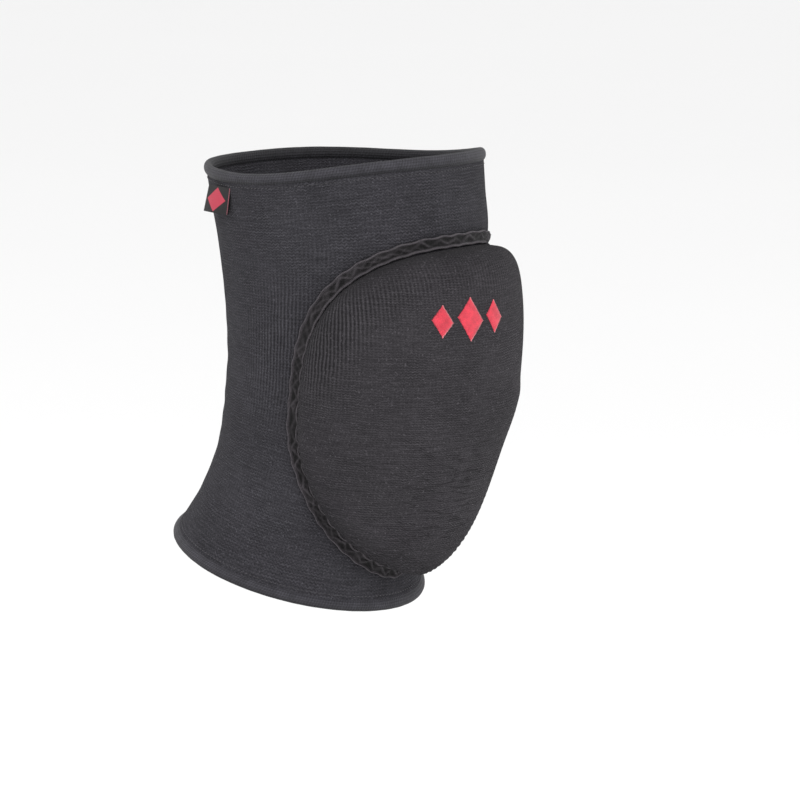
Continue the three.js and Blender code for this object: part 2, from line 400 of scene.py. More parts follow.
def add_node(tree, kind, inputs=(), **settings):
    """Adds one shader node, sets its properties, and sets or links its inputs.

    Inputs are given by name or in Blender's order. A node given as an input links its first output.
    """
    node = tree.nodes.new("ShaderNode" + kind)
    for key, value in settings.items():
        setattr(node, key, value)
    for socket, value in inputs.items() if isinstance(inputs, dict) else enumerate(inputs):
        if isinstance(value, bpy.types.Node):
            value = value.outputs[0]
        if isinstance(value, bpy.types.NodeSocket):
            tree.links.new(value, node.inputs[socket])
        else:
            node.inputs[socket].default_value = value
    return node


def new_material(name):
    material = bpy.data.materials.new(name)
    material.use_nodes = True
    material.node_tree.nodes.clear()
    return material, material.node_tree


def stitch_places(tree):
    """Each point's place in the piece's own stitches: the whole, along a row, and up the rows."""
    stitches = add_node(tree, "UVMap", uv_map="stitches")
    return (stitches, *add_node(tree, "SeparateXYZ", (stitches,)).outputs[:2])


def ridges(tree, place, pitch=1.0, wave="SINE"):
    """Even ridges from -1 to 1 across a place, one to each pitch."""
    turn = add_node(tree, "Math", (place, 2 * math.pi / pitch), operation="MULTIPLY")
    return add_node(tree, "Math", (turn,), operation=wave)


def vary(tree, tone, *causes):
    """Multiplies a tone by shares that follow noises, each cause a noise with its least and its most share."""
    for noise, least, most in causes:
        share = add_node(tree, "MapRange", (noise, 0.3, 0.7, least, most))
        tone = add_node(tree, "Math", (tone, share), operation="MULTIPLY")
    return tone


def close_material(tree, base, relief, depth, strength, finish):
    """Gives a material its colour, its relief of a depth in metres, and its finish."""
    bump = add_node(tree, "Bump", {"Height": relief, "Distance": depth, "Strength": strength})
    shader = add_node(tree, "BsdfPrincipled", {"Base Color": base, "Normal": bump, **finish})
    add_node(tree, "OutputMaterial", (shader,))


def shade(value, share):
    """A colour made darker or lighter."""
    return (*(min(part * share, 1.0) for part in value), 1.0)


def knit_cloth(name, value, ribs, slope):
    """Rib-knitted polyamide and rubber yarn: matt, with uneven rows of V-shaped stitches and paler stray fibres."""
    material, tree = new_material(name)
    place = add_node(tree, "TexCoord").outputs["Object"]
    stitches, along_row, up_rows = stitch_places(tree)
    rib_mask, row_mask, painted_seam_shade = (
        add_node(tree, "Attribute", attribute_name=mask).outputs["Fac"] for mask in ("ribs", "rows", "painted_seam_shade")
    )
    # Each noise has a scale, a detail and a roughness
    noises = (
        (110.0, 2.0, 0.5),  # slow: yarn tension wanders over about 9 mm
        (520.0, 2.0, 0.5),  # quick: and over 2 mm, which makes the rows waver as stretched knit does
        (75.0, 1.0, 0.5),  # pulled: over a centimetre or so the cloth is stretched one way or the other
        (34.0, 3.0, 0.5),  # cloudy: dye and wear leave clouds of 3 cm
        (1350.0, 3.0, 0.75),  # fuzz: fine fibres stand out of the yarn and blur its edges
        (1050.0, 1.0, 0.5),  # specks: loose ends of undyed rubber yarn, half a millimetre long
    )
    slow, quick, pulled, cloudy, fuzz, specks = (
        add_node(tree, "TexNoise", {"Vector": place, "Scale": scale, "Detail": detail, "Roughness": roughness})
        for scale, detail, roughness in noises
    )
    across = add_node(tree, "Math", (slow, 0.8, along_row), operation="MULTIPLY_ADD")
    wander = add_node(tree, "Math", (slow, 1.5, up_rows), operation="MULTIPLY_ADD")
    up = add_node(tree, "Math", (quick, 0.75, wander), operation="MULTIPLY_ADD")
    # Each stitch is a V: its rows rise from both edges of a wale to its middle
    half_wale = add_node(tree, "Math", (across, 0.5), operation="PINGPONG")
    bent = add_node(tree, "Math", (half_wale, slope, up), operation="MULTIPLY_ADD")
    row, wale = ridges(tree, bent), ridges(tree, across, wave="COSINE")
    # Yarn runs uneven along a row for a dozen stitches at a time, which leaves short streaks
    drawn = add_node(tree, "VectorMath", (stitches, (0.2, 0.85, 1.0)), operation="MULTIPLY")
    streak = add_node(tree, "TexNoise", {"Vector": drawn, "Scale": 1.0, "Detail": 2.0, "Roughness": 0.65})
    # Where the cloth is pulled one way its rows show more, and pulled the other way its ribs do
    rows_shown = add_node(tree, "MapRange", (pulled, 0.35, 0.65, 1.25, 0.5))
    ribs_shown = add_node(tree, "MapRange", (pulled, 0.35, 0.65, 0.0, 2.2 * ribs))
    front_rows = add_node(tree, "Math", (row_mask, 0.12, 0.5), operation="MULTIPLY_ADD")
    less_rows = add_node(tree, "Math", (rib_mask, -0.35, front_rows), operation="MULTIPLY_ADD")
    patchy_rows = add_node(tree, "Math", (less_rows, rows_shown), operation="MULTIPLY")
    row_strength = vary(tree, patchy_rows, (streak, 0.45, 1.45))
    row_relief = add_node(tree, "Math", (row, row_strength), operation="MULTIPLY")
    rib_strength = add_node(tree, "Math", (rib_mask, 1.5, ribs_shown), operation="MULTIPLY_ADD")
    knit = add_node(tree, "Math", (wale, rib_strength, row_relief), operation="MULTIPLY_ADD")
    # Where the foam bends the knit, single rows sink in for a centimetre or two at a time
    long_drawn = add_node(tree, "VectorMath", (stitches, (0.07, 0.36, 1.0)), operation="MULTIPLY")
    level = add_node(tree, "TexNoise", {"Vector": long_drawn, "Scale": 1.0, "Detail": 1.0})
    from_line = add_node(tree, "Math", (level, 0.5), operation="SUBTRACT")
    near_line = add_node(tree, "Math", (from_line,), operation="ABSOLUTE")
    line = add_node(tree, "MapRange", (near_line, 0.035, 0.005))
    sunken = add_node(tree, "Math", (line, row_mask), operation="MULTIPLY")
    relief = add_node(tree, "Math", (sunken, -0.85, knit), operation="MULTIPLY_ADD")
    fibrous = add_node(tree, "Math", (fuzz, 1.5, relief), operation="MULTIPLY_ADD")
    # Painted light and shade: the yarn's crests are painted lighter and the gaps between its loops darker, following
    # the relief
    painted_crest_light = add_node(tree, "MapRange", (relief, -1.0, 1.0))
    dark, light = shade(value, 0.5), shade(value, 1.48)
    body = add_node(tree, "Mix", {0: painted_crest_light, 6: dark, 7: light}, data_type="RGBA").outputs[2]
    # Painted shade makes the colour deeper beside the seam, on the pad's rounded edge inside the tape and in the crease
    # just outside it, and no patch is even
    seam_shaded_tone = add_node(tree, "MapRange", (painted_seam_shade, 0.0, 1.0, 1.0, 0.6))
    tone = vary(tree, seam_shaded_tone, (cloudy, 0.9, 1.1), (streak, 0.78, 1.22), (fuzz, 0.66, 1.34))
    toned = add_node(tree, "VectorMath", {0: body, "Scale": tone}, operation="SCALE")
    flecks = add_node(tree, "MapRange", (specks, 0.64, 0.76, 0.0, 0.6))
    base = add_node(tree, "Mix", {0: flecks, 6: toned, 7: shade(value, 2.7)}, data_type="RGBA").outputs[2]
    cloth = {"Roughness": 0.95, "Sheen Weight": 0.02, "Sheen Roughness": 0.5, "Specular IOR Level": 0.07}
    close_material(tree, base, fibrous, 0.26 * MM, 0.9, cloth)
    return material


def tape_cloth():
    """Folded elastic tape: corded edges painted lighter as a highlight, and a crumpled hollow between them painted
    darker as shade.
    """
    material, tree = new_material("Gathered elastic tape")
    place = add_node(tree, "TexCoord").outputs["Object"]
    _, along, _ = stitch_places(tree)
    grain = add_node(tree, "TexNoise", {"Vector": place, "Scale": 900.0, "Detail": 3.0})
    # Small creases of 1 to 2 mm, between the large folds that the mesh has, and fine cross threads
    creases = add_node(tree, "TexNoise", {"Vector": place, "Scale": 420.0, "Detail": 2.0, "Distortion": 0.6})
    grained = add_node(tree, "Math", (ridges(tree, along), 0.3, grain), operation="MULTIPLY_ADD")
    relief = add_node(tree, "Math", (creases, 2.4, grained), operation="MULTIPLY_ADD")
    # Painted shade in the hollow between the cords, and a painted highlight on the cords
    hollow = add_node(tree, "Attribute", attribute_name="hollow").outputs["Fac"]
    depth = add_node(tree, "MapRange", (hollow, 0.0, 1.0, 2.15, 0.14))
    # Painted light and shade that follow the creases' relief
    tone = vary(tree, depth, (creases, 0.75, 1.25))
    toned = add_node(tree, "VectorMath", {0: colours().tape, "Scale": tone}, operation="SCALE")
    cloth = {"Roughness": 0.75, "Sheen Weight": 0.05, "Specular IOR Level": 0.25}
    close_material(tree, toned, relief, 0.2 * MM, 0.8, cloth)
    return material


def hem_cloth():
    """Knit rolled on itself: its wales run slanting round the roll, closer together than on the flat cloth."""
    material, tree = new_material("Rolled knit hem")
    place = add_node(tree, "TexCoord").outputs["Object"]
    _, across, up = stitch_places(tree)
    slow = add_node(tree, "TexNoise", {"Vector": place, "Scale": 150.0, "Detail": 2.0})
    grain = add_node(tree, "TexNoise", {"Vector": place, "Scale": 1500.0, "Detail": 3.0})
    # Rolling twists the wales, so that they lie across the roll at a slant
    slant = add_node(tree, "Math", (up, 0.35, across), operation="MULTIPLY_ADD")
    wavering = add_node(tree, "Math", (slow, 0.8, slant), operation="MULTIPLY_ADD")
    # Courses run round the leg, so that they show as fine lines along the roll
    both = add_node(tree, "Math", (ridges(tree, up), ridges(tree, wavering)), operation="ADD")
    ribbed = add_node(tree, "Math", (both, 0.3), operation="MULTIPLY")
    relief = add_node(tree, "Math", (grain, 1.4, ribbed), operation="MULTIPLY_ADD")
    # Painted light on the loops' ridges and painted shade between them
    loops = add_node(tree, "MapRange", (both, -2.0, 2.0, 0.6, 1.4))
    # Painted highlight along the roll's upper outer side, and painted shade on its under side
    offset = add_node(tree, "Math", (up, -1.2), operation="ADD")
    painted_roll_light = add_node(tree, "MapRange", (ridges(tree, offset, ROLL_COURSES, "COSINE"), 0.35, 1.0, 0.55, 1.3))
    lit_roll_tone = add_node(tree, "Math", (loops, painted_roll_light), operation="MULTIPLY")
    # The roll is stretched unevenly, which shows as paler and darker lengths of some millimetres
    tone = vary(tree, lit_roll_tone, (grain, 0.75, 1.25), (slow, 0.8, 1.2))
    toned = add_node(tree, "VectorMath", {0: colours().hem, "Scale": tone}, operation="SCALE")
    cloth = {"Roughness": 0.66, "Sheen Weight": 0.04, "Sheen Roughness": 0.5, "Specular IOR Level": 0.28}
    close_material(tree, toned, relief, 0.22 * MM, 0.9, cloth)
    return material


def thread_material(name, value, gloss, pale):
    """Polyester thread: two plies with a soft shine, and a painted highlight that makes them paler where they would
    turn to the light.
    """
    material, tree = new_material(name)
    place = add_node(tree, "TexCoord").outputs["Object"]
    twist = add_node(tree, "TexNoise", {"Vector": place, "Scale": 2200.0, "Detail": 2.0})
    # Painted sheen that shifts over 4 mm, as on satin stitch where its threads lie at slightly different slants
    soft = add_node(tree, "TexNoise", {"Vector": place, "Scale": 260.0, "Detail": 1.0})
    mixed = add_node(tree, "Math", (twist, soft), operation="ADD")
    light = add_node(tree, "MapRange", (mixed, 0.7, 1.3))
    plies = {0: light, 6: shade(value, 0.8), 7: shade(value, pale)}
    body = add_node(tree, "Mix", plies, data_type="RGBA").outputs[2]
    # Painted highlight at one end of each thread, where the thread dives into the cloth
    ends = add_node(tree, "Attribute", attribute_name="ends").outputs["Fac"]
    painted_end_highlight = (*(0.45 + 0.4 * part for part in value), 1.0)
    base = add_node(tree, "Mix", {0: ends, 6: body, 7: painted_end_highlight}, data_type="RGBA").outputs[2]
    fibre = {"Roughness": gloss, "Sheen Weight": 0.1, "Specular IOR Level": 0.4}
    close_material(tree, base, twist, 0.08 * MM, 0.6, fibre)
    return material


def label_cloth():
    """Woven satin ribbon: fine weft lines 0.35 mm apart, with a lozenge woven in a second colour."""
    material, tree = new_material("Woven satin label")
    _, along, up = stitch_places(tree)
    # The lozenge is the place where the distances from its middle, as shares of its halves, add up to less than one.
    # On the label all these places are in millimetres
    half_length, half_height = 6.0, 5.8
    beside = add_node(tree, "Math", (along,), operation="ABSOLUTE")
    above = add_node(tree, "Math", (up,), operation="ABSOLUTE")
    rise_share = add_node(tree, "Math", (above, 1 / half_height), operation="MULTIPLY")
    share = add_node(tree, "Math", (beside, 1 / half_length, rise_share), operation="MULTIPLY_ADD")
    inside = add_node(tree, "MapRange", (share, 1.0, 0.94))
    # Weft and warp give the ribbon its relief, and its fine horizontal gloss lines are a painted highlight along the
    # weft
    weft, warp = ridges(tree, up, 0.35), ridges(tree, along, 0.5)
    raised = add_node(tree, "Math", (weft, inside), operation="ADD")
    relief = add_node(tree, "Math", (warp, 0.4, raised), operation="MULTIPLY_ADD")
    painted_weft_gloss = add_node(tree, "MapRange", (weft, -1.0, 1.0, 0.82, 1.12))
    ground, mark = (*colours().label, 1.0), (*colours().label_mark, 1.0)
    mixed = add_node(tree, "Mix", {0: inside, 6: ground, 7: mark}, data_type="RGBA").outputs[2]
    toned = add_node(tree, "VectorMath", {0: mixed, "Scale": painted_weft_gloss}, operation="SCALE")
    close_material(tree, toned, relief, 0.08 * MM, 0.7, {"Roughness": 0.5, "Specular IOR Level": 0.4})
    return material


def floor_paint():
    """Matt studio floor, pale and even, with a faint mottling so that it doesn't read as cut out."""
    material, tree = new_material("Pale studio floor")
    place = add_node(tree, "TexCoord").outputs["Object"]
    cloudy = add_node(tree, "TexNoise", {"Vector": place, "Scale": 1.5, "Detail": 2.0})
    paints = {0: cloudy, 6: shade(colours().backdrop, 0.99), 7: shade(colours().backdrop, 1.01)}
    base = add_node(tree, "Mix", paints, data_type="RGBA").outputs[2]
    shader = add_node(tree, "BsdfPrincipled", {"Base Color": base, "Roughness": 0.9})
    add_node(tree, "OutputMaterial", (shader,))
    return material


def knit_counts():
    """Wales round the knee and courses per metre of height, so that a whole number of wales closes the tube."""
    s = sizes()
    return round(2 * math.pi * s.knee_radius / s.wale_pitch), 1 / s.course_pitch


def knit_masks(across, height):
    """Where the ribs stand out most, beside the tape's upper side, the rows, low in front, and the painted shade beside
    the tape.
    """
    distance, _ = from_outline(across, height)
    inside = distance > 0
    beside = near(distance, 13, 9) * near(height, 31, 22)
    outside = 0.6 * near(distance, -10, 16) * near(height, 25, 30)
    front = near(across, -2, 34) * near(height, -30, 34)
    inner = np.maximum(distance - sizes().tape_width, 0)
    return {
        "ribs": np.where(inside, beside, outside),
        "rows": np.where(inside, front, 0.15),
        # Painted shade: darker on the pad for some millimetres inside the tape, and a thin dark line just outside it
        "painted_seam_shade": np.where(inside, 0.8 * np.exp(-inner / (6.5 * MM)), 0.7 * np.exp(distance / (1.6 * MM))),
    }


def gathers(across, height):
    """How far the seam's gathers lift the cloth beside the tape, inside and outside it."""
    distance, along = from_outline(across, height)
    total = tape_run()
    inner = distance - sizes().tape_width
    # From 0 on the pad's upper side to 1 at its lower end, where the gathers are deepest and reach furthest
    lower = np.clip(0.5 - height / (60 * MM), 0, 1)
    slanted = along + 0.55 * inner * np.sign(across)
    pitch = total / round(total / GATHER_PITCH)
    wander = drift(along, total, 11) * 0.9 + drift(along, total, 12, 90) * 0.5
    ridge = np.sin(2 * np.pi * slanted / pitch + wander * 2)
    # Depths in millimetres. Outside, the tape's own puckers show as well
    depth = (0.18 + 0.42 * lower) * (0.6 + 0.4 * drift(along, total, 13, 60))
    inside = depth * np.exp(-np.maximum(inner, 0) / ((4.5 + 4.5 * lower) * MM)) * ridge
    broad = 0.16 * np.sin(2 * np.pi * along / (total / puckers()) + wander) * np.exp(-np.abs(distance) / (5 * MM))
    outside = broad + 0.10 * ridge * np.exp(distance / (4 * MM))
    return np.where(inner > 0, inside, np.where(distance < 0, outside, 0)) * MM


class KNEEPAD_OT_sleeve(bpy.types.Operator):
    """Knits the sleeve, open at both ends, with the gathers that the tape's seam pulls into it"""

    bl_idname = "knee_pad.make_sleeve"
    bl_label = "Make the sleeve"

    around = 280
    up_outside = 170
    up_inside = 60
    short_of_rim = 0.6
    crease_depth = 0.3 * MM
    crease_pitch = 13 * MM

    def execute(self, context):
        s = sizes()
        wales, courses = knit_counts()
        # The cloth runs on into its own rolled ends, so that no light shows between them
        top = s.thigh_length - s.top_hem_height * self.short_of_rim
        bottom = -s.shin_length + s.bottom_hem_height * self.short_of_rim
        outer = np.linspace(bottom, top, self.up_outside)
        inner = np.linspace(top, bottom, self.up_inside)
        heights = np.concatenate([outer, inner])
        outward = np.concatenate([np.zeros(self.up_outside), np.full(self.up_inside, -s.wall)])
        angles = np.linspace(-np.pi, np.pi, self.around + 1)[:-1]
        height, angle = np.meshgrid(heights, angles, indexing="ij")
        offset = np.repeat(outward[:, None], self.around, axis=1)
        outer_rows = slice(0, self.up_outside)
        across = angle[outer_rows].ravel() * s.knee_radius
        lifted = gathers(across, height[outer_rows].ravel())
        offset[outer_rows] += lifted.reshape(self.up_outside, self.around)
        # Soft creases behind the knee, where the bend crowds the cloth
        crease = self.crease_depth * bell((np.abs(angle) - np.pi) / 0.7) * near(height, 0, 45)
        offset += crease * np.sin(2 * np.pi * height / self.crease_pitch + 1.3 * np.sin(2 * angle))
        points = sleeve_point(angle, height, offset).reshape(-1, 3)
        faces, rows, columns = lattice(len(heights), self.around, wrap_rows=True, wrap_columns=True)
        wrapped = np.concatenate([heights, [heights[-1]]])
        stitches = np.stack([columns / self.around * wales, wrapped[rows] * courses], axis=-1)
        sleeve = make_piece("sleeve_cloth", points, faces, stitches)
        for name, values in knit_masks(angle.ravel() * s.knee_radius, height.ravel()).items():
            point_attribute(sleeve, name, values)
        smooth(sleeve)
        sleeve.data.set_sharp_from_angle(angle=math.radians(60))
        knit = knit_cloth("Rib-knitted sleeve", colours().sleeve, ribs=0.07, slope=0.9)
        finish_piece(sleeve, "sleeve", knit)
        return {"FINISHED"}


def roll(name, middle, tallness, seed):
    """A rolled hem round one end of the sleeve, with the unevenness of cloth rolled by hand."""
    s = sizes()
    around, profile = 300, 24
    angles = np.linspace(-np.pi, np.pi, around + 1)[:-1]
    turns = np.linspace(0, 2 * np.pi, profile + 1)[:-1]
    turn, angle = np.meshgrid(turns, angles, indexing="ij")
    round_leg = angle + np.pi
    uneven = 1 + 0.035 * drift(round_leg, 2 * np.pi, seed, 22) + 0.02 * drift(round_leg, 2 * np.pi, seed + 1, 90)
    offset = (np.cos(turn) * s.hem_thickness * uneven - s.wall) / 2
    height = middle + np.sin(turn) * tallness * (0.5 + (uneven - 1) * 0.3)
    points = sleeve_point(angle, height, offset).reshape(-1, 3)
    faces, rows, columns = lattice(profile, around, wrap_rows=True, wrap_columns=True)
    wales, _ = knit_counts()
    stitches = np.stack([columns / around * wales * 1.5, rows / profile * ROLL_COURSES], axis=-1)
    hem = make_piece(name, points, faces, stitches)
    smooth(hem)
    return hem


class KNEEPAD_OT_hems(bpy.types.Operator):
    """Rolls the two hems and sews the row of stitches beside each"""

    bl_idname = "knee_pad.make_hems"
    bl_label = "Make the hems"

    stitch_pitch = 2.1 * MM
    stitch_length = 1.3 * MM
    stitch_radius = 0.17 * MM
    stitch_lift = 0.1 * MM
    below_top_hem = 1.3 * MM
    above_bottom_hem = 1.4 * MM

    def execute(self, context):
        s = sizes()
        cloth = hem_cloth()
        top = roll("top_hem_roll", s.thigh_length - s.top_hem_height / 2, s.top_hem_height, 21)
        bottom = roll("bottom_hem_roll", -s.shin_length + s.bottom_hem_height / 2, s.bottom_hem_height, 31)
        finish_piece(top, "top_hem", cloth)
        finish_piece(bottom, "bottom_hem", cloth)
        thread = thread_material("Hem stitching thread", colours().stitch, 0.6, 1.3)
        lines = (
            ("top_hem_stitches", s.thigh_length - s.top_hem_height - self.below_top_hem),
            ("bottom_hem_stitches", -s.shin_length + s.bottom_hem_height + self.above_bottom_hem),
        )
        for name, height in lines:
            finish_piece(self.sew(name, height), None, thread)
        return {"FINISHED"}

    def sew(self, name, height):
        """One stitch is modelled, and copied round the sleeve at even steps."""
        bpy.ops.mesh.primitive_uv_sphere_add(segments=6, ring_count=5, radius=1.0)
        stitch = bpy.context.object
        bpy.ops.object.mode_set(mode="EDIT")
        bpy.ops.mesh.select_all(action="SELECT")
        bpy.ops.transform.resize(value=(self.stitch_length / 2, self.stitch_radius, self.stitch_radius))
        bpy.ops.object.mode_set(mode="OBJECT")
        shape = points_of(stitch)
        shape_faces = [list(face.vertices) for face in stitch.data.polygons]
        bpy.data.objects.remove(stitch)
        girth = 2 * math.pi * float(value_at(np.array(height), RADIUS))
        count = round(girth / self.stitch_pitch)
        points, faces = [], []
        for number in range(count):
            angle = -math.pi + 2 * math.pi * (number + 0.5) / count
            middle = sleeve_point(angle, height, self.stitch_lift)
            ahead = unit(sleeve_point(angle + 0.01, height, self.stitch_lift) - middle)
            out = unit(sleeve_point(angle, height, 1 * MM) - middle)
            points.append(middle + shape @ np.array([ahead, out, np.cross(ahead, out)]))
            faces += [[index + number * len(shape) for index in face] for face in shape_faces]
        sewn = make_piece(name, np.concatenate(points), faces)
        smooth(sewn)
        return sewn


class KNEEPAD_OT_pad(bpy.types.Operator):
    """Pads the front: a foam dome under stretched knit, pressed out by a cloth simulation"""

    bl_idname = "knee_pad.make_pad"
    bl_label = "Make the pad"

    cells = 52
    edge_bunching = 0.75
    # The foam stretches the knit sideways more than it does up and down
    pitch_share = np.array([1.08, 0.86])
    most_move = 1.2 * MM
    frames = 20
    line_depth = 0.1 * MM

    def execute(self, context):
        across, height = self.plan_lattice()
        pad = self.dome(across, height)
        self.press_out(pad)
        subdivision = pad.modifiers.new("Finer knit", "SUBSURF")
        subdivision.levels = subdivision.render_levels = 2
        apply_modifiers(pad)
        self.gather(pad)
        smooth(pad)
        knit = knit_cloth("Knit over foam", colours().pad, ribs=0.05, slope=0.7)
        finish_piece(pad, "knee_pad", knit)
        return {"FINISHED"}

    def plan_lattice(self):
        """A square lattice bent to the pad's outline, closer together at the edge, where the dome is steep."""
        line = np.linspace(-1, 1, self.cells + 1)
        line = line + (np.sin(line * np.pi / 2) - line) * self.edge_bunching
        p, q = np.meshgrid(line, line, indexing="ij")
        a = p * np.sqrt(1 - q**2 / 2)
        b = q * np.sqrt(1 - p**2 / 2)
        radius = np.hypot(a, b)
        middle = radius < 1e-9
        radius[middle] = 1
        _, tip, flank, _ = half_of(b)
        stretch = np.ones_like(radius)
        across_part, rise_part = np.where(middle, 1, np.abs(a) / radius), np.abs(b) / radius
        for _ in range(8):
            excess = (stretch * across_part) ** tip + (stretch * rise_part) ** flank - 1
            slope = tip * stretch ** (tip - 1) * across_part**tip
            slope += flank * stretch ** (flank - 1) * rise_part**flank
            stretch -= excess / slope
        reach = half_of(b)[0] - pad_inset()
        return a * stretch * (sizes().pad_half_width - pad_inset()), b * stretch * reach

    def dome(self, across, height):
        """The dome and the flat back under it, joined round the edge."""
        side = self.cells + 1
        numbers = np.arange(side * side).reshape(side, side)
        over = over_pad(across.ravel(), height.ravel(), 0.0)
        under = over_sleeve(across.ravel(), height.ravel(), SEAT)
        faces, rows, columns = lattice(side, side)
        inner = np.ones((side, side), bool)
        inner[[0, -1], :] = False
        inner[:, [0, -1]] = False
        back = numbers.copy()
        back[inner] = np.arange(inner.sum()) + side * side
        points = np.concatenate([over, under[inner.ravel()]])
        back_faces = back.ravel()[faces][:, ::-1]
        corners = self.run_over(across.ravel(), height.ravel())[faces]
        pitch = np.array([sizes().wale_pitch, sizes().course_pitch]) * self.pitch_share
        stitches = np.concatenate([corners, corners[:, ::-1]]) / pitch
        pad = make_piece("pad_cushion", points, np.concatenate([faces, back_faces]), stitches)
        place = np.stack([across.ravel(), height.ravel()], axis=-1)
        place = np.concatenate([place, place[inner.ravel()]])
        point_attribute(pad, "across", place[:, 0])
        point_attribute(pad, "height", place[:, 1])
        held = pad.vertex_groups.new(name="held")
        rim = [int(n) for n in np.concatenate([numbers[~inner], back[inner]])]
        held.add(rim, 1.0, "REPLACE")
        return pad

    def run_over(self, across, height):
        """How far the knit runs over the dome from the pad's middle to each point, sideways and up."""
        share = np.sin(np.linspace(0, np.pi / 2, 40))[:, None]
        lines = over_pad(share * across, height, 0.0), over_pad(across, share * height, 0.0)
        runs = [np.linalg.norm(np.diff(line, axis=0), axis=-1).sum(axis=0) for line in lines]
        return np.stack(runs, axis=-1) * np.sign(np.stack([across, height], axis=-1))

    def press_out(self, pad):
        """Lets the knit take up the foam's pressure, held at its edge, and caps how far it may move."""
        start = points_of(pad)
        cloth = pad.modifiers.new("Foam pressure", "CLOTH")
        settings = cloth.settings
        settings.use_pressure = True
        settings.uniform_pressure_force = 4.0
        settings.effector_weights.gravity = 0.0
        settings.quality = 6
        settings.mass = 0.25
        settings.tension_stiffness = settings.compression_stiffness = 25.0
        settings.shear_stiffness = 10.0
        settings.bending_stiffness = 3.0
        settings.vertex_group_mass = "held"
        cloth.collision_settings.use_collision = False
        cloth.point_cache.frame_start, cloth.point_cache.frame_end = 1, self.frames
        scene = bpy.context.scene
        for number in range(1, self.frames + 1):
            scene.frame_set(number)
        apply_modifiers(pad)
        scene.frame_set(1)
        moved = points_of(pad) - start
        far = np.linalg.norm(moved, axis=1, keepdims=True)
        move_points(pad, start + moved * np.minimum(1, self.most_move / np.maximum(far, 1e-9)))

    def gather(self, pad):
        """Works the seam's gathers and the knit's stretch lines into the finished surface."""
        mesh = pad.data
        across, height = np.empty((2, len(mesh.vertices)), np.float32)
        mesh.attributes["across"].data.foreach_get("value", across)
        mesh.attributes["height"].data.foreach_get("value", height)
        points = points_of(pad)
        normals = point_normals(pad)
        front = np.linalg.norm(points - over_sleeve(across, height, SEAT), axis=1) > 0.4 * MM
        lift = gathers(across, height)
        # Stretch lines: rows stand out as uneven ridges over the front, where the foam bends the knit most
        waver = np.sin(across / (9 * MM) + 1.0) * 0.9 + np.sin(across / (4.3 * MM) + height / (15 * MM)) * 0.6
        ridge = np.sin(2 * np.pi * height / STRETCH_LINE_PITCH + waver)
        stops = np.sin(across / (5.5 * MM) + 5 * np.sin(height / (4.1 * MM)))
        broken = 0.5 + 0.5 * stops * np.cos(height / (6.3 * MM) + across / (12 * MM))
        front_band = near(across, -4, 24) * np.clip(near(height, -18, 46) * 1.3, 0, 1)
        lift += self.line_depth * ridge * broken * front_band
        move_points(pad, points + normals * (lift * front)[:, None])
        for name, values in knit_masks(across, height).items():
            point_attribute(pad, name, values)


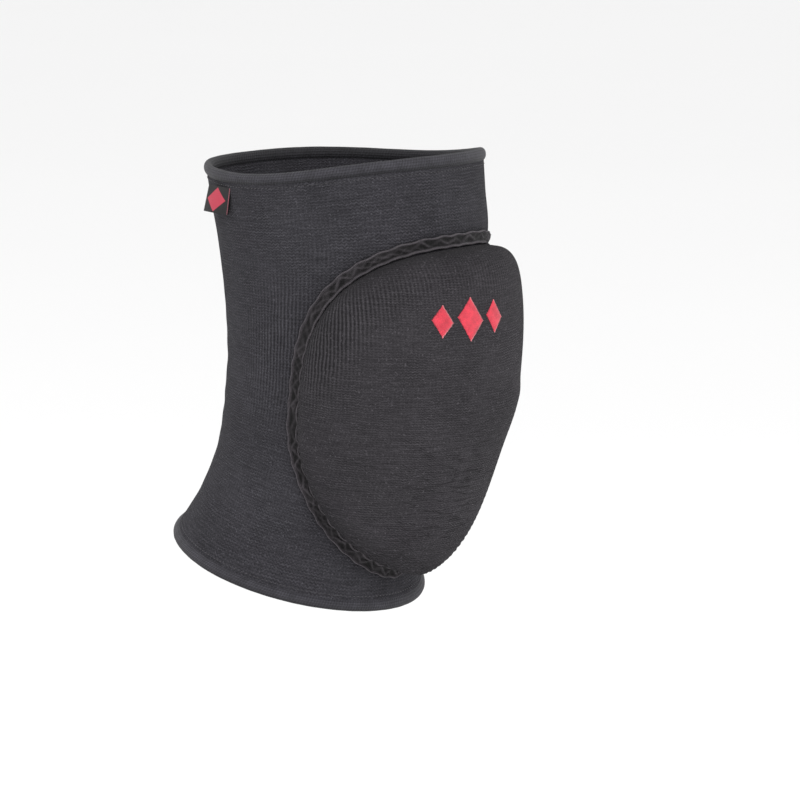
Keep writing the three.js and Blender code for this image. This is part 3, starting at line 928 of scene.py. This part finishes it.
class KNEEPAD_OT_tape(bpy.types.Operator):
    """Lays the puckered tape round the pad: two corded edges with a crumpled hollow between them"""

    bl_idname = "knee_pad.make_tape"
    bl_label = "Make the tape"

    columns_per_pucker = 24
    crumple_height = 0.85 * MM
    sunk = 0.25 * MM
    cross_thread_pitch = 0.55 * MM

    def execute(self, context):
        s = sizes()
        count = puckers() * self.columns_per_pucker
        even, _, _, turns = outline_track(count)
        total, along, turn = even[-1], even[:-1], turns[:-1]
        # Across the tape: its place as a share of the width, its height as a share of the thickness
        profile = np.array([
            (0.0, 0.0), (0.0, 0.4), (0.02, 0.8), (0.055, 1.0), (0.095, 0.97), (0.13, 0.68), (0.16, 0.34), (0.21, 0.18),
            (0.28, 0.14), (0.35, 0.14), (0.42, 0.14), (0.5, 0.14), (0.58, 0.14), (0.65, 0.14), (0.72, 0.14),
            (0.79, 0.18), (0.84, 0.34), (0.87, 0.68), (0.905, 0.97), (0.945, 1.0), (0.985, 0.85), (1.03, 0.5),
            (1.02, 0.0),
        ])
        place, rise = profile[:, 0][:, None], profile[:, 1][:, None]
        phase = 2 * np.pi * along / total * puckers() + 1.1 * drift(along, total, 3, 30)
        # The tape lies looser the lower it is, so that its scallops and cords stand out more there
        loose = np.clip(0.75 - plan_point(turn, 0.0)[1] / (90 * MM), 0.25, 1)
        scallop = np.abs(np.sin(phase / 2))
        inner_edge = np.clip((place - 0.6) / 0.2, 0, 1)
        outer_edge = np.clip((0.35 - place) / 0.2, 0, 1)
        sway = (inner_edge * 1.2 * (scallop - 0.4) * loose + outer_edge * 0.25 * np.sin(phase + 2)) * MM
        between = np.clip((place - 0.13) / 0.1, 0, 1) * np.clip((0.87 - place) / 0.1, 0, 1)
        crumple = between * self.folds(place, phase, along, total)
        inset = place * s.tape_width - sway
        across, height = plan_point(turn[None, :] + 0 * place, inset)
        lift = rise * s.tape_thickness * (0.75 + 0.25 * loose) * (1 + 0.08 * drift(along, total, 8, 120))
        lift += crumple * self.crumple_height
        over = over_sleeve(across, height, SEAT - self.sunk + lift)
        rows = len(profile)
        faces, corner_rows, corner_columns = lattice(rows, count, wrap_rows=True, wrap_columns=True)
        threads = corner_columns / count * total / self.cross_thread_pitch
        stitches = np.stack([threads, corner_rows / rows * 10], axis=-1)
        tape = make_piece("tape_cloth", over.reshape(-1, 3), faces, stitches)
        # Painted shade in the hollow between the cords, lifted where the crumples rise into the light
        hollow = between * (1 - 0.62 * np.clip(crumple, 0, 1))
        point_attribute(tape, "hollow", hollow.ravel())
        smooth(tape)
        finish_piece(tape, "seam_tape", tape_cloth())
        return {"FINISHED"}

    def folds(self, place, phase, along, total):
        """One fold runs to and fro between the cords, once for each pucker, and some smaller ones beside it."""
        swing = 0.22 + 0.06 * drift(along, total, 6, 90)
        line = 0.5 + swing * np.arcsin(np.sin(phase)) / (np.pi / 2) + 0.09 * drift(along, total, 7, 170)
        fold = bell((place - line) / 0.13) * (0.6 + 0.4 * drift(along, total, 5, 100))
        small = bell((place - 1 + line) / 0.09) * np.clip(drift(along, total, 9, 130), 0, 1)
        facet = np.clip(1.6 * drift(along + 7 * MM * place, total, 15, 150) - 0.2, 0, 1)
        return np.clip(fold + 0.6 * small + 0.3 * facet, 0, 1.1)


def label_frame():
    """The label's directions (along, out, up), the sleeve's outward direction there, and where the label starts."""
    s = sizes()
    middle = s.thigh_length - s.label_drop
    foot = sleeve_point(s.label_angle, middle - s.label_height / 2, 0.0)
    head = sleeve_point(s.label_angle, middle + s.label_height / 2, 0.0)
    up = unit(head - foot)
    out = unit(np.cross(up, (-math.cos(s.label_angle), math.sin(s.label_angle), 0.0)))
    flat = np.stack([np.cross(out, up), out, up], axis=1)
    lift, droop = Matrix.Rotation(s.label_lift, 3, "Z"), Matrix.Rotation(s.label_droop, 3, "X")
    hung = flat @ np.array(lift @ droop @ Matrix.Rotation(-s.label_lean, 3, "Y"))
    off_sleeve = CLEARANCE + 0.5 * MM + math.sin(s.label_droop) * s.label_height / 2
    return hung, out, sleeve_point(s.label_angle, middle, off_sleeve)


class KNEEPAD_OT_label(bpy.types.Operator):
    """Folds the side label over and sews its open edge down with a pink thread"""

    bl_idname = "knee_pad.make_label"
    bl_label = "Make the label"

    ply = 0.3 * MM
    seam_lift = 0.7 * MM
    bow_height = 0.5 * MM
    fold_gap = 0.2 * MM
    edge_inset = 0.4 * MM
    thread_radius = 0.24 * MM
    thread_lift = 0.4 * MM
    thread_turns = 14

    def execute(self, context):
        s = sizes()
        hung, out, start = label_frame()
        along, off, up = hung.T
        lengthwise, tallwise = 61, 18
        run = np.linspace(-1, 1, lengthwise)
        tall = np.linspace(-0.5, 0.5, tallwise) * s.label_height
        r, h = np.meshgrid(run, tall, indexing="ij")
        # From the seam out along the upper ply to the fold, and back along the lower one
        t = 1 - np.abs(r)
        # The sewn edge lies on the sleeve at its upper corner, and the ribbon bows a little on its way to the fold
        seam = sleeve_point(s.label_angle, s.thigh_length - s.label_drop, self.seam_lift)
        drawn = ((start - seam) @ out + 0.35 * h * (up @ out)) * (1 - t) ** 2
        bow = self.bow_height * np.sin(np.pi * t) * (0.5 - h / s.label_height)
        middle = start + along * (t * s.label_length)[..., None] + up * h[..., None]
        middle = middle - out * drawn[..., None] + off * bow[..., None]
        gap = self.fold_gap * (1 + np.sin(np.pi * np.minimum(t * 1.15, 1)))
        gap *= np.sqrt(np.clip(1 - (np.maximum(t - 0.95, 0) / 0.05) ** 2, 0, 1))
        points = (middle - off * (np.sign(r) * gap)[..., None]).reshape(-1, 3)
        faces, rows, columns = lattice(lengthwise, tallwise)
        lay = np.stack(
            [(t[rows, 0] - 0.52) * s.label_length / MM, (columns / (tallwise - 1) - 0.5) * s.label_height / MM], axis=-1
        )
        label = make_piece("label_ribbon", points, faces, lay)
        solid = label.modifiers.new("Ply", "SOLIDIFY")
        solid.thickness, solid.offset = self.ply, 0.0
        apply_modifiers(label)
        turn_outwards(label)
        smooth(label)
        label.data.set_sharp_from_angle(angle=math.radians(50))
        finish_piece(label, "side_label", label_cloth())
        self.sew_edge(middle[0] + along * self.edge_inset, out)
        return {"FINISHED"}

    def sew_edge(self, line, out):
        """The overcast thread along the sewn edge, as one straight bar laid from its start to its end."""
        bpy.ops.mesh.primitive_cylinder_add(
            vertices=8, radius=self.thread_radius, depth=1.0, end_fill_type="TRIFAN"
        )
        bar = bpy.context.object
        bpy.ops.object.mode_set(mode="EDIT")
        for cut in np.linspace(-0.45, 0.45, 25):
            bpy.ops.mesh.select_all(action="SELECT")
            bpy.ops.mesh.bisect(plane_co=(0, 0, float(cut)), plane_no=(0, 0, 1))
        bpy.ops.object.mode_set(mode="OBJECT")
        shape = points_of(bar)
        share = shape[:, 2] + 0.5
        start, end = line[0], line[-1]
        beaded = 1 + 0.25 * np.sin(share * 2 * np.pi * self.thread_turns)
        side = unit(np.cross(out, end - start))
        placed = start + share[:, None] * (end - start) + (shape[:, :1] * out + shape[:, 1:2] * side) * beaded[:, None]
        move_points(bar, placed + out * self.thread_lift)
        bar.name = bar.data.name = "label_edge_thread"
        turn_outwards(bar)
        smooth(bar)
        pink = thread_material("Label edge thread", srgb("#8a4a55"), 0.55, 1.2)
        finish_piece(bar, None, pink)


class KNEEPAD_OT_lozenges(bpy.types.Operator):
    """Embroiders the row of lozenges on the pad in satin stitch, one thread beside the other"""

    bl_idname = "knee_pad.make_lozenges"
    bl_label = "Make the lozenges"

    thread_pitch = 0.5 * MM
    thread_width = 0.6 * MM
    thread_depth = 0.48 * MM
    shortest_thread = 0.7 * MM
    probe = 8 * MM
    side_share = 0.75

    def execute(self, context):
        s = sizes()
        pad = bpy.data.objects.get("pad_cushion")
        if pad is None:
            raise RuntimeError("make the pad before its embroidery")
        surface = BVHTree.FromPolygons(points_of(pad).tolist(), [list(face.vertices) for face in pad.data.polygons])
        thread = thread_material("Satin-stitch thread", colours().thread, 0.42, 1.3)
        template = self.strand()
        step = s.lozenge_width * (1 + self.side_share) / 2 + s.lozenge_spacing
        row = ((-step, self.side_share), (0.0, 1.0), (step, self.side_share))
        for number, (middle, share) in enumerate(row, 1):
            width, tallness = s.lozenge_width * share, s.lozenge_tallness * share
            piece = self.embroider(number, middle, width, tallness, surface, template)
            finish_piece(piece, f"pad_lozenge_{number}", thread)
        return {"FINISHED"}

    def strand(self):
        """One thread, modelled as a rod with rounded ends: its points, its faces."""
        lying = (0, math.pi / 2, 0)
        bpy.ops.mesh.primitive_cylinder_add(vertices=6, radius=1.0, depth=2.0, end_fill_type="TRIFAN", rotation=lying)
        rod = bpy.context.object
        bpy.ops.object.transform_apply(rotation=True)
        bpy.ops.object.mode_set(mode="EDIT")
        for cut in (-0.97, -0.9, -0.75, -0.5, -0.25, 0.0, 0.25, 0.5, 0.75, 0.9, 0.97):
            bpy.ops.mesh.select_all(action="SELECT")
            bpy.ops.mesh.bisect(plane_co=(cut, 0, 0), plane_no=(1, 0, 0))
        bpy.ops.object.mode_set(mode="OBJECT")
        shape = points_of(rod)
        faces = [list(face.vertices) for face in rod.data.polygons]
        bpy.data.objects.remove(rod)
        return shape, faces

    def embroider(self, number, middle, width, tallness, surface, template):
        """Lays the threads of one lozenge side by side on the pad, each as long as the lozenge is wide there."""
        s = sizes()
        shape, shape_faces = template
        around = self.stretch(1 * MM, 0.0)
        upward = self.stretch(0.0, 1 * MM)
        rows = int(tallness / self.thread_pitch)
        rng = np.random.default_rng(40 + number)
        points, faces, ends = [], [], []
        for index in range(rows):
            rise = ((index + 0.5) / rows - 0.5) * tallness
            half = (1 - abs(rise) / (tallness / 2)) * width / 2 + rng.uniform(-0.12, 0.12) * MM
            half = max(half, self.shortest_thread / 2)
            x = shape[:, 0]
            taper = np.sqrt(np.clip(1 - np.abs(x) ** 8, 0.05, 1))
            place = middle + x * half
            # Threads slant a little, so that light runs across the shape
            slanted = rise + x * half * 0.18 + shape[:, 1] * self.thread_width / 2 * taper
            crown = 0.55 * MM * (1 - x**2) * min(1, half / (3 * MM))
            lift = 0.12 * MM + crown + shape[:, 2] * self.thread_depth / 2 * taper
            across = s.lozenge_across + place / around
            height = s.lozenge_height + slanted / upward
            points.append(self.on_pad(across, height, lift, surface))
            faces += [[n + index * len(shape) for n in face] for face in shape_faces]
            ends.append(np.clip((x * half + half - 0.1 * MM) / (0.9 * MM), 0, 1))
        piece = make_piece(f"embroidered_lozenge_{number}", np.concatenate(points), faces)
        # Painted highlight at the lower end of each thread
        point_attribute(piece, "ends", 0.55 * (1 - np.concatenate(ends)))
        smooth(piece)
        return piece

    def stretch(self, across, height):
        """How much longer the dome is than the sleeve under it, where the row lies."""
        s = sizes()
        before = over_pad(s.lozenge_across - across / 2, s.lozenge_height - height / 2, 0.0)
        after = over_pad(s.lozenge_across + across / 2, s.lozenge_height + height / 2, 0.0)
        return float(np.linalg.norm(after - before) / math.hypot(across, height))

    def on_pad(self, across, height, lift, surface):
        """Points at a height over the pad's finished surface."""
        high = over_pad(across, height, self.probe)
        low = over_pad(across, height, -self.probe)
        placed = []
        for top, bottom, rise in zip(high, low, lift):
            way = Vector(bottom - top).normalized()
            hit, normal, _, _ = surface.ray_cast(Vector(top), way)
            if hit is None:
                raise RuntimeError("the embroidery misses the pad")
            placed.append(hit + normal * float(rise))
        return np.array([list(p) for p in placed])


class KNEEPAD_OT_studio(bpy.types.Operator):
    """Sets the pale floor, the soft lights and the camera at the photograph's angle"""

    bl_idname = "knee_pad.make_studio"
    bl_label = "Make the studio"

    azimuth = math.radians(-51)
    elevation = math.radians(8.5)
    pixels_per_metre = 2150.0
    knee_at = (342.0, 385.0)
    picture = 800.0
    sensor = 36.0
    floor_radius = 40.0
    daylight = 0.92

    def execute(self, context):
        middle = (0, 0, -sizes().floor_drop)
        bpy.ops.mesh.primitive_circle_add(vertices=96, radius=self.floor_radius, fill_type="TRIFAN", location=middle)
        floor = bpy.context.object
        bpy.ops.object.transform_apply(location=True)
        floor.name = floor.data.name = "floor"
        floor.data.materials.append(floor_paint())
        self.set_camera(context)
        self.set_lights(context)
        return {"FINISHED"}

    def set_camera(self, context):
        s = sizes()
        a, e = self.azimuth, self.elevation
        back = Vector((math.sin(a) * math.cos(e), -math.cos(a) * math.cos(e), math.sin(e)))
        right = Vector((math.cos(a), math.sin(a), 0.0))
        up = back.cross(right)
        aside = (self.picture / 2 - self.knee_at[0]) / self.pixels_per_metre
        above = (self.knee_at[1] - self.picture / 2) / self.pixels_per_metre
        camera = bpy.data.objects.new("camera", bpy.data.cameras.new("camera"))
        context.collection.objects.link(camera)
        camera.location = back * s.camera_distance + right * aside + up * above
        camera.rotation_mode = "QUATERNION"
        camera.rotation_quaternion = (-back).to_track_quat("-Z", "Y")
        camera.data.sensor_width = self.sensor
        camera.data.lens = self.sensor * s.camera_distance * self.pixels_per_metre / self.picture
        camera.data.clip_start, camera.data.clip_end = 0.05, 200.0
        context.scene.camera = camera

    def set_lights(self, context):
        lights = (
            ("key_light", (-2.0, -1.9, 1.7), 1.5, 34.0),
            ("fill_light", (1.6, -1.9, 1.0), 1.8, 7.0),
            ("back_light", (-0.6, 2.2, 1.7), 1.6, 8.0),
        )
        for name, place, size, power in lights:
            lamp = bpy.data.lights.new(name, "AREA")
            lamp.shape, lamp.size, lamp.energy = "DISK", size, power
            light = bpy.data.objects.new(name, lamp)
            context.collection.objects.link(light)
            light.location = place
            light.rotation_mode = "QUATERNION"
            light.rotation_quaternion = (-Vector(place)).to_track_quat("-Z", "Y")
        world = bpy.data.worlds.new("soft studio")
        context.scene.world = world
        world.use_nodes = True
        sky = world.node_tree.nodes["Background"]
        sky.inputs[0].default_value = (1.0, 1.0, 1.0, 1.0)
        sky.inputs[1].default_value = self.daylight
        context.scene.view_settings.view_transform = "Standard"
        context.scene.view_settings.look = "None"


class KNEEPAD_PT_panel(bpy.types.Panel):
    """Lists the knee pad's makers, sizes and colours"""

    bl_idname = "KNEEPAD_PT_panel"
    bl_label = "Knee pad"
    bl_space_type = "VIEW_3D"
    bl_region_type = "UI"
    bl_category = "Knee pad"

    def draw(self, context):
        for maker in MAKERS:
            self.layout.operator(maker.bl_idname)
        for settings in (sizes(), colours()):
            box = self.layout.box()
            for name in settings.__annotations__:
                box.prop(settings, name)


MAKERS = (
    KNEEPAD_OT_sleeve,
    KNEEPAD_OT_hems,
    KNEEPAD_OT_pad,
    KNEEPAD_OT_tape,
    KNEEPAD_OT_label,
    KNEEPAD_OT_lozenges,
    KNEEPAD_OT_studio,
)
CLASSES = (KneePadSizes, KneePadColours, *MAKERS, KNEEPAD_PT_panel)


def register():
    for made in CLASSES:
        bpy.utils.register_class(made)
    bpy.types.Scene.knee_pad_sizes = PointerProperty(type=KneePadSizes)
    bpy.types.Scene.knee_pad_colours = PointerProperty(type=KneePadColours)


def unregister():
    del bpy.types.Scene.knee_pad_colours
    del bpy.types.Scene.knee_pad_sizes
    for made in reversed(CLASSES):
        bpy.utils.unregister_class(made)


def main():
    register()
    bpy.ops.knee_pad.make_sleeve()
    bpy.ops.knee_pad.make_hems()
    bpy.ops.knee_pad.make_pad()
    bpy.ops.knee_pad.make_tape()
    bpy.ops.knee_pad.make_label()
    bpy.ops.knee_pad.make_lozenges()
    bpy.ops.knee_pad.make_studio()


if __name__ == "__main__":
    main()
